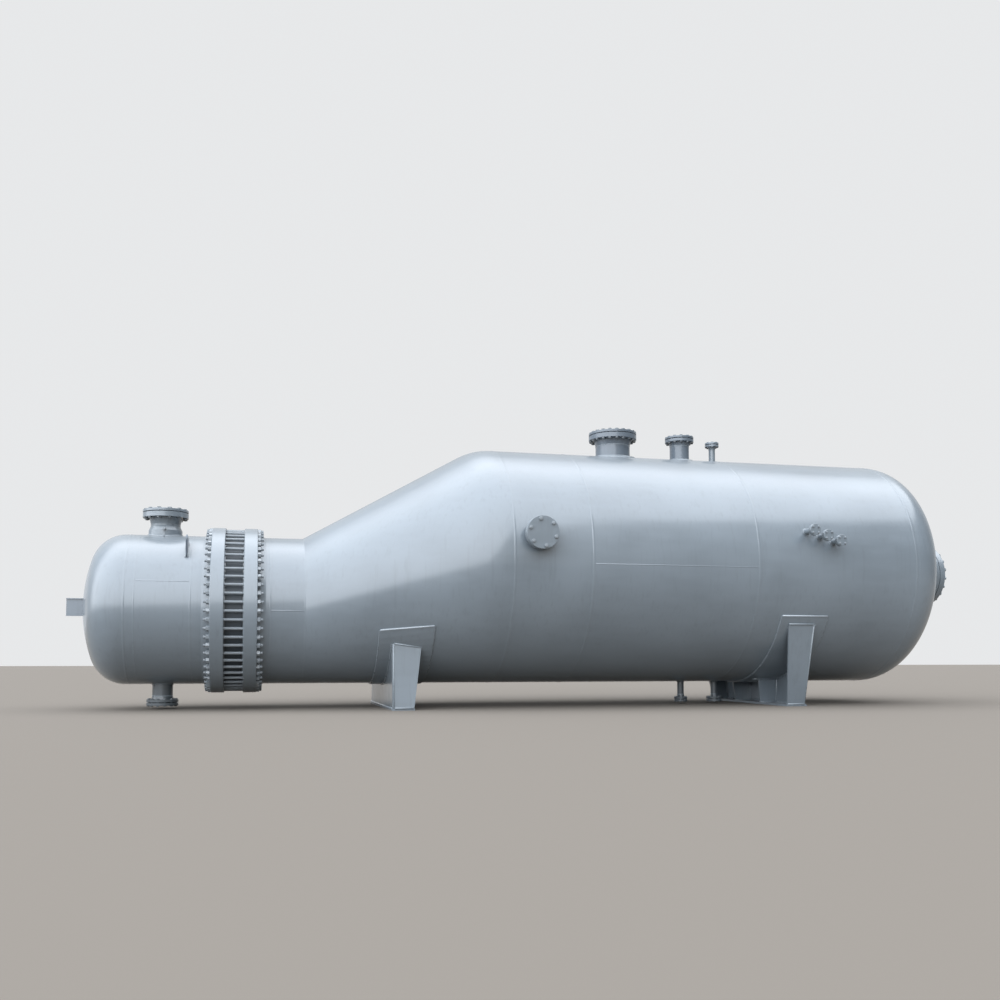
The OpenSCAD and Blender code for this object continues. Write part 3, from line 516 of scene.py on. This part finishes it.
def oval_ring(centre, seat, radius, width, height, steps=96):
    """A ring of oval section round a nozzle's axis."""
    deselect()
    bpy.ops.mesh.primitive_torus_add(major_segments=steps, minor_segments=8, major_radius=radius,
                                     minor_radius=width / 2)
    ring = bpy.context.object
    ring.scale = (1.0, 1.0, height / width)
    settle(ring)
    ring.matrix_world = Matrix.Translation(centre) @ seat.to_4x4()
    settle(ring)
    return ring


# Seams round the channel and the small end of the shell, as place, width and height of the bead. The
# second one is the line beside the channel head's seam
HEAD_LINE_X = BARREL_X + 0.112
SMALL_SEAMS = (
    (BARREL_X, 0.028, 0.0040),
    (HEAD_LINE_X, 0.022, 0.0028),
    (HUB_X, 0.024, 0.0034),
    (NECK_X, 0.024, 0.0034),
    (CONE_X, 0.026, 0.0036),
)
LARGE_SEAMS = (COURSE_1_X, COURSE_2_X, COURSE_3_X, REAR_X)

# Seams along the vessel: start, end, radius and axis height of the shell, angle up from level on the
# near side
LONG_SEAMS = (
    (HEAD_LINE_X + 0.010, HUB_X - 0.010, CHANNEL_R, CHANNEL_Z, 18.7),
    (NECK_X + 0.010, CONE_X - 0.010, CHANNEL_R, CHANNEL_Z, -2.6),
    (COURSE_1_X + 0.015, COURSE_2_X - 0.015, KETTLE_R, KETTLE_Z, 128.0),
    (COURSE_2_X + 0.015, COURSE_3_X - 0.015, KETTLE_R, KETTLE_Z, -2.9),
    (COURSE_3_X + 0.015, REAR_X - 0.015, KETTLE_R, KETTLE_Z, 206.0),
)
LONG_SEAM_FLATNESS = 0.30
LONG_SEAM_SINK = 0.0008

# Sizes of the fillets where the nozzles meet the shell
NOZZLE_LEGS = {
    "vapour": 0.020, "relief": 0.018, "vent": 0.013, "outlet": 0.015, "drain_1": 0.012, "drain_2": 0.012,
    "handhole": 0.018, "gauge_1": 0.011, "gauge_2": 0.011, "gauge_3": 0.011,
}
INLET_FOOT_R = 0.202
INLET_FOOT_DROP = 0.170
MANWAY_WELD_R = 0.318
MANWAY_WELD_DROP = 0.378

# Lugs, as half their length round the channel and their angle from straight up
LUG_HALF_L = 0.145
LUG_ANGLE = 41.0


def shell_seams():
    seams = [round_bead(x, CHANNEL_R, CHANNEL_Z, width, height) for x, width, height in SMALL_SEAMS]
    seams += [round_bead(x, KETTLE_R, KETTLE_Z, 0.034, 0.0050, steps=320) for x in LARGE_SEAMS]
    finish_piece(join("circumferential_welds", seams), seam_paint, 60)


def long_seams():
    seams = []
    for start, end, radius, axis_z, angle in LONG_SEAMS:
        bead = straight_bead((start, 0.0, 0.0), (end, 0.0, 0.0))
        bead.scale = (1.0, LONG_SEAM_FLATNESS, 1.0)
        settle(bead)
        turn = math.radians(angle)
        surface = radius - LONG_SEAM_SINK
        bead.rotation_euler = (-turn, 0.0, 0.0)
        bead.location = (0.0, -surface * math.cos(turn), axis_z + surface * math.sin(turn))
        settle(bead)
        seams.append(bead)
    finish_piece(join("longitudinal_welds", seams), seam_paint, 60)


def nozzle_welds():
    """Fillets at the shell and round the pads, and the ring where each neck meets its flange."""
    beads = []
    for name, leg in NOZZLE_LEGS.items():
        nozzle, centre = NOZZLES[name], face_of(name)[0]
        radius, axis_z = (CHANNEL_R, CHANNEL_Z) if name == "outlet" else (KETTLE_R, KETTLE_Z)
        lift = PAD_T if name in PADDED else 0.0
        beads.append(nozzle_bead(centre, nozzle.seat, nozzle.neck_r, radius, axis_z, leg, lift))
        if name in PADDED:
            pad_r = half_size(name + "_pad", 0)
            beads.append(nozzle_bead(centre, nozzle.seat, pad_r, radius, axis_z, 0.020, lift=0.003))
    beads.append(nozzle_bead(face_of("inlet")[0], UP, INLET_FOOT_R, CHANNEL_R, CHANNEL_Z))
    for name, nozzle in NOZZLES.items():
        face, out = face_of(name)
        neck_end = FACE_GAP + nozzle.flange_t * 2.35
        beads.append(oval_ring(face - out * neck_end, nozzle.seat, nozzle.neck_r, 0.007, 0.014))
    face, out = face_of("manway")
    beads.append(oval_ring(face - out * MANWAY_WELD_DROP, REAR, MANWAY_WELD_R, 0.030, 0.030, 140))
    face, out = face_of("inlet")
    beads.append(oval_ring(face - out * INLET_FOOT_DROP, UP, NOZZLES["inlet"].neck_r, 0.007, 0.014))
    # The nozzle fillets take the lighter paint that stands in for their highlights.
    finish_piece(join("nozzle_welds", beads), weld_highlight_paint, 60)


def gasket_rings():
    """Edges of the gaskets in the gaps between the flanges and their covers."""
    rings = []
    for name, nozzle in NOZZLES.items():
        face, out = face_of(name)
        radius = nozzle.circle / 2 - nozzle.stud_d * 0.5 - 0.012
        rings.append(oval_ring(face - out * FACE_GAP / 2, nozzle.seat, radius, 0.022, 0.0036))
    finish_piece(join("gasket_rings", rings), gasket_edge, 60)


def fitting_welds():
    """Weld beads of the lugs and the end bracket."""
    beads = []
    half = math.degrees(math.asin(LUG_HALF_L / CHANNEL_R))
    for angle in (-LUG_ANGLE, LUG_ANGLE):
        for x in (low("lifting_lug_near", 0) - 0.003, high("lifting_lug_near", 0) + 0.003):
            beads.append(round_bead(x, CHANNEL_R, CHANNEL_Z, 0.020, 0.022, start=angle - half,
                                    sweep=2 * half, steps=30))
    bracket = middle("end_bracket")
    half_h = half_size("end_bracket", 2)
    head_end = low("channel_head", 0)
    for side in (-1.0, 1.0):
        beads.append(straight_bead((head_end - 0.002, side * 0.009, bracket.z - half_h + 0.012),
                                   (head_end + 0.003, side * 0.009, bracket.z + half_h - 0.012)))
        edge_z = bracket.z + side * (half_h + 0.003)
        beads.append(straight_bead((head_end + 0.001, -0.022, edge_z), (head_end + 0.001, 0.022, edge_z),
                                   0.009))
    # The lug and bracket beads take the lighter paint that stands in for their highlights.
    finish_piece(join("fitting_welds", beads), weld_highlight_paint, 60)


# Plugs: reach and height of the coupling's end, reach of the plug at the nozzle's foot, place of the
# plug in the tubesheet's rim
COUPLING_REACH = 0.221
COUPLING_UP = 0.068
FOOT_PLUG_REACH = 0.262
RIM_PLUG_BACK = 0.084
RIM_PLUG_DROP = math.radians(3.3)


def plug(place, way, radius, height):
    """A hexagon plug with a round collar, screwed in along a direction."""
    deselect()
    bpy.ops.mesh.primitive_cylinder_add(vertices=6, radius=radius, depth=height,
                                        location=(0.0, 0.0, height / 2))
    head = bpy.context.object
    bevel_edges(head, lambda edge: min(edge.verts[0].co.z, edge.verts[1].co.z) > 0.0, radius * 0.12)
    deselect()
    bpy.ops.mesh.primitive_cylinder_add(vertices=24, radius=radius * 1.15, depth=height * 0.25,
                                        location=(0.0, 0.0, height * 0.12))
    whole = join("plug", [head, bpy.context.object])
    turned = Vector(way).to_track_quat("Z", "Y").to_matrix().to_4x4()
    whole.matrix_world = Matrix.Translation(place) @ turned
    settle(whole)
    return whole


def plug_on_shell(x, across, radius, axis_z, size, height):
    """A plug on top of the shell, square to its surface."""
    lean = math.asin(across / radius)
    out = Vector((0.0, math.sin(lean), math.cos(lean)))
    return plug((x, across, axis_z + radius * math.cos(lean)), out, size, height)


def plugs():
    """The plug of the inlet's coupling, one at the nozzle's foot, one in the tubesheet's rim, and the plugs
    of the tell-tale holes in the two pads."""
    inlet_x = face_of("inlet")[0].x
    coupling = (inlet_x, -COUPLING_REACH, CHANNEL_Z + CHANNEL_R + COUPLING_UP)
    pieces = [plug(coupling, (0.0, -1.0, 0.0), 0.017, 0.020)]
    pieces.append(plug_on_shell(inlet_x, -FOOT_PLUG_REACH, CHANNEL_R, CHANNEL_Z, 0.013, 0.018))
    out = Vector((0.0, -math.cos(RIM_PLUG_DROP), -math.sin(RIM_PLUG_DROP)))
    rim = Vector((SHELL_FACE_X - RIM_PLUG_BACK, 0.0, CHANNEL_Z)) + out * TUBESHEET_R
    pieces.append(plug(rim, out, 0.015, 0.016))
    for name in PADDED:
        x = face_of(name)[0].x
        across = (half_size(name + "_pad", 0) + NOZZLES[name].neck_r) / 2
        for side in (-1.0, 1.0):
            pieces.append(plug_on_shell(x, side * across, KETTLE_R + PAD_T, KETTLE_Z, 0.008, 0.009))
    finish_piece(join("plugs", pieces), nut_paint, 30)


# Saddles, along X from the middle of the base plate: faces of the web and the ends of the ribs' feet.
# Across: half the web's foot, the outer rib's middle plane, and half a rib's thickness with its fillet
WEAR_T = 0.016
WEB_FRONT = 0.130
WEB_BACK = 0.105
RIB_FOOT_END = 0.132
WEB_FOOT = 1.045
OUTER_RIB = 1.0575
RIB_FACE = 0.0155
RIB_SHARES = (-1.0, -1 / 3, 1 / 3, 1.0)
RIB_WELD_R = 0.010
# Each saddle's way from web to ribs, the angle of its horns from straight down, the reach of its ribs' tops
SADDLES = (("fixed_saddle", 1.0, 54.0, 0.231), ("sliding_saddle", -1.0, 59.6, 0.248))
# Edges of the wear plates: angle of the sliding one's from straight down, and of the fixed one's sloping
# edge its height above the bottom line, the place where it has that height, and its slope
WEAR_ANGLE = 63.9
WEAR_EDGE_UP = 0.668
WEAR_EDGE_X = 0.038
WEAR_EDGE_SLOPE = math.tan(math.radians(4.6))


def saddle_beads(name, way, horn, top_reach):
    """Fillets of one saddle's web and ribs."""
    beads = []
    base_top = high("fixed_saddle_base", 2)
    seat_x = middle(name + "_base").x
    front, back = seat_x - way * WEB_FRONT, seat_x - way * WEB_BACK
    foot_end, top_end = seat_x + way * RIB_FOOT_END, seat_x + way * top_reach

    def shell_at(x):
        return cone_r(x) if name == "fixed_saddle" else KETTLE_R

    def plate_z(x, y):
        return BOTTOM + shell_at(x) - math.sqrt((shell_at(x) + WEAR_T) ** 2 - y ** 2)

    web_r = shell_at(front)
    horn_y = (web_r + WEAR_T) * math.sin(math.radians(horn))
    horn_z = BOTTOM + web_r - (web_r + WEAR_T) * math.cos(math.radians(horn))
    for x in (front - way * 0.004, back + way * 0.004):
        radius = shell_at(x) + WEAR_T + 0.003
        beads.append(round_bead(x, radius, BOTTOM + shell_at(x), 0.020, 0.018, start=180.0 - horn,
                                sweep=2 * horn, steps=100))
        beads.append(straight_bead((x, -WEB_FOOT, base_top + 0.003), (x, WEB_FOOT, base_top + 0.003),
                                   RIB_WELD_R))
    for share in RIB_SHARES:
        foot_y, top_y = share * OUTER_RIB, share * horn_y
        lean = (top_y - foot_y) / (horn_z - base_top)
        for face in (-RIB_FACE, RIB_FACE):
            top_z = horn_z
            for _ in range(4):
                top_z = min(horn_z + 0.004, plate_z(back, top_y + face + lean * (top_z - horn_z)))
            top = top_y + face + lean * (top_z - horn_z)
            end_z = min(horn_z + 0.004, plate_z(top_end, top))
            foot = foot_y + face
            outer = abs(share) == 1.0 and face * share > 0.0
            corner_x = back - way * (0.004 if outer else -0.004)
            inset = face * 0.5 if outer else 0.0
            beads.append(straight_bead((corner_x, foot - inset, base_top + 0.004),
                                       (corner_x, top - inset, top_z - 0.004), RIB_WELD_R))
            beads.append(straight_bead((back, foot, base_top + 0.003), (foot_end, foot, base_top + 0.003),
                                       RIB_WELD_R))
            beads.append(straight_bead((back, top, top_z), (top_end, top, end_z), 0.011))
    return beads


def wear_plate_edges():
    """Fillets round the two wear plates: those down the sides, and those along the tops."""
    sides = []
    tops = []
    sliding_low, sliding_high = low("sliding_saddle_wear_plate", 0), high("sliding_saddle_wear_plate", 0)
    for x, out in ((sliding_low, -1.0), (sliding_high, 1.0)):
        sides.append(round_bead(x + out * 0.004, KETTLE_R + 0.004, KETTLE_Z, 0.022, 0.018,
                                start=180.0 - WEAR_ANGLE, sweep=2 * WEAR_ANGLE, steps=150))
    ends = []
    for x, out in ((low("fixed_saddle_wear_plate", 0), -1.0), (high("fixed_saddle_wear_plate", 0), 1.0)):
        radius = cone_r(x)
        edge_z = BOTTOM + WEAR_EDGE_UP + WEAR_EDGE_SLOPE * (x - WEAR_EDGE_X)
        angle = math.degrees(math.acos((BOTTOM + radius - edge_z) / (radius + 0.008)))
        ends.append((x, (radius + 0.012) * math.sin(math.radians(angle)), edge_z + 0.005))
        sides.append(round_bead(x + out * 0.004, radius + 0.005, BOTTOM + radius, 0.022, 0.018,
                                start=180.0 - angle, sweep=2 * angle, steps=120))
    reach = (KETTLE_R + 0.010) * math.sin(math.radians(WEAR_ANGLE))
    edge_z = KETTLE_Z - (KETTLE_R + 0.004) * math.cos(math.radians(WEAR_ANGLE))
    for side in (-1.0, 1.0):
        tops.append(straight_bead((sliding_low, side * reach, edge_z), (sliding_high, side * reach, edge_z),
                                  0.012))
        first, last = ((x, side * y, z) for x, y, z in ends)
        tops.append(straight_bead(first, last, 0.012))
    return sides, tops


def saddle_welds():
    beads = []
    for saddle in SADDLES:
        beads += saddle_beads(*saddle)
    sides, tops = wear_plate_edges()
    # The saddle and side wear plate fillets take the lighter paint that stands in for their highlights.
    finish_piece(join("saddle_welds", beads + sides), weld_highlight_paint, 60)
    # The wear plates' top fillets take the near-white paint that stands in for the bright highlight along
    # them.
    finish_piece(join("wear_plate_top_welds", tops), edge_weld_highlight_paint, 60)


# Studs and nuts. A nut's height and the length of stud past it are shares of the stud's diameter, for
# the lower and the upper end
UPRIGHT_NUTS = ((0.55, 0.10), (0.45, 0.08))
SIDE_NUTS = ((0.80, 0.25), (0.85, 0.22))
GIRTH_NUTS = ((1.05, 0.83), (1.05, 0.83))
GIRTH_STUD_D = 0.036
GIRTH_NUT_FLATS = 0.055
GIRTH_STUDS = 60


def stud_with_nuts(diameter, across_flats, bottom, top, nuts):
    """One stud along +Z with a nut under the bottom face and one on the top face."""
    lower, upper = nuts
    deselect()
    first = bottom - diameter * sum(lower)
    last = top + diameter * sum(upper)
    bpy.ops.mesh.primitive_cylinder_add(vertices=14, radius=diameter / 2, depth=last - first,
                                        location=(0.0, 0.0, (first + last) / 2))
    stud = bpy.context.object
    bevel_edges(stud, is_end_edge, diameter * 0.09)
    stud.data.materials.append(stud_paints["Z"])
    parts = [stud]
    for face, out, height in ((top, 1.0, diameter * upper[0]), (bottom, -1.0, diameter * lower[0])):
        deselect()
        bpy.ops.mesh.primitive_cylinder_add(vertices=6, radius=across_flats / math.sqrt(3), depth=height,
                                            location=(0.0, 0.0, face + out * height / 2),
                                            rotation=(0.0, 0.0, random.uniform(0.0, 1.0)))
        nut = bpy.context.object
        bevel_edges(nut, lambda edge: min(edge.verts[0].co.z * out, edge.verts[1].co.z * out) > 0.0,
                    across_flats * 0.06)
        nut.data.materials.append(nut_paint)
        parts.append(nut)
    return join("stud", parts)


def ring_of_studs(name, model, at, seat, circle, count, turn, axis):
    """Copies of one stud round a flange whose face lies at a point, with the nuts turned at random."""
    root = Matrix.Translation(at) @ seat.to_4x4()
    copies = []
    for number in range(count):
        angle = 2 * math.pi * (number + 0.5) / count + math.radians(turn)
        spot = Matrix.Rotation(angle, 4, "Z") @ Matrix.Translation((circle / 2, 0.0, 0.0))
        copies.append(copy_of(model, root @ spot @ Matrix.Rotation(random.uniform(0.0, math.pi / 3), 4, "Z")))
    ring = join(name, copies)
    for slot in ring.material_slots:
        if slot.material == stud_paints["Z"]:
            slot.material = stud_paints[axis]
    bpy.data.objects.remove(model)
    finish_piece(ring, None, 30)
    return ring


def cover_studs():
    for name, nozzle in NOZZLES.items():
        upright = nozzle.axis == "Z"
        model = stud_with_nuts(nozzle.stud_d, nozzle.flats, -FACE_GAP - nozzle.flange_t, nozzle.cover_t,
                               UPRIGHT_NUTS if upright else SIDE_NUTS)
        if upright:
            # All nuts on upright nozzles take the dark paint that stands in for the shade under the flanges.
            model.material_slots[1].material = cover_nut_shade_paint
        ring_of_studs(name + "_studs", model, face_of(name)[0], nozzle.seat, nozzle.circle, nozzle.count,
                      nozzle.turn, nozzle.axis)


def girth_joint_studs():
    grip = SHELL_FACE_X - CHANNEL_FACE_X + 2 * GIRTH_FLANGE_T
    model = stud_with_nuts(GIRTH_STUD_D, GIRTH_NUT_FLATS, -grip / 2, grip / 2, GIRTH_NUTS)
    centre = Vector(((CHANNEL_FACE_X + SHELL_FACE_X) / 2, 0.0, CHANNEL_Z))
    ring = ring_of_studs("girth_joint_studs", model, centre, REAR, 2 * STUD_CIRCLE_R, GIRTH_STUDS, 0.0, "X")
    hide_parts("girth_studs")


# The cone, with an even surface in place of its flat facets
def smooth_cone():
    turn_steps = 12
    stations = [0.0, TURN_START * 0.5, TURN_START]
    stations += [TURN_START + TURN_L * step / turn_steps for step in range(1, turn_steps + 1)] + [CONE_L]
    rings = []
    for along in stations:
        radius = cone_r(CONE_X + along)
        deselect()
        bpy.ops.mesh.primitive_circle_add(vertices=276, radius=radius, rotation=(0.0, math.pi / 2, 0.0),
                                          location=(CONE_X + along, 0.0, BOTTOM + radius))
        rings.append(bpy.context.object)
    cone = join("cone_wall", rings)
    hold(cone)
    bpy.ops.object.mode_set(mode="EDIT")
    bpy.ops.mesh.select_mode(type="EDGE")
    bpy.ops.mesh.select_all(action="SELECT")
    bpy.ops.mesh.bridge_edge_loops()
    bpy.ops.mesh.select_all(action="SELECT")
    bpy.ops.mesh.normals_make_consistent(inside=False)
    leave_edit()
    wall = cone.modifiers.new("wall", "SOLIDIFY")
    wall.thickness = CONE_WALL
    wall.offset = -1.0
    wall.use_even_offset = False
    hold(cone)
    bpy.ops.object.modifier_apply(modifier="wall")
    finish_piece(cone, shell_paint, 40)
    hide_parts("eccentric_cone")


smooth_cone()
shell_seams()
long_seams()
nozzle_welds()
gasket_rings()
fitting_welds()
plugs()
saddle_welds()
cover_studs()
girth_joint_studs()


# Finishes of the solids
def finish_of(name):
    if "gasket" in name:
        return gasket_edge
    if "saddle" in name:
        return saddle_paint
    # The tubesheet takes the near-black paint that stands in for the shade in the girth joint's gaps.
    if name == "tubesheet":
        return rim_shade_paint
    # The lugs take the dark paint that stands in for the shade on them.
    if "lug" in name:
        return lug_shade_paint
    if name == "end_bracket":
        return bracket_paint
    if "vapour" in name or "relief" in name:
        return nozzle_paint
    # The outlet and drain pieces take the near-black paint that stands in for the shade under the vessel.
    if "outlet" in name or "drain" in name:
        return underside_shade_paint
    if "cover" in name or "nozzle" in name or "neck" in name and name != "shell_neck":
        return cover_paint
    return shell_paint


for name, node in nodes.items():
    node.data.materials.clear()
    node.data.materials.append(finish_of(name))
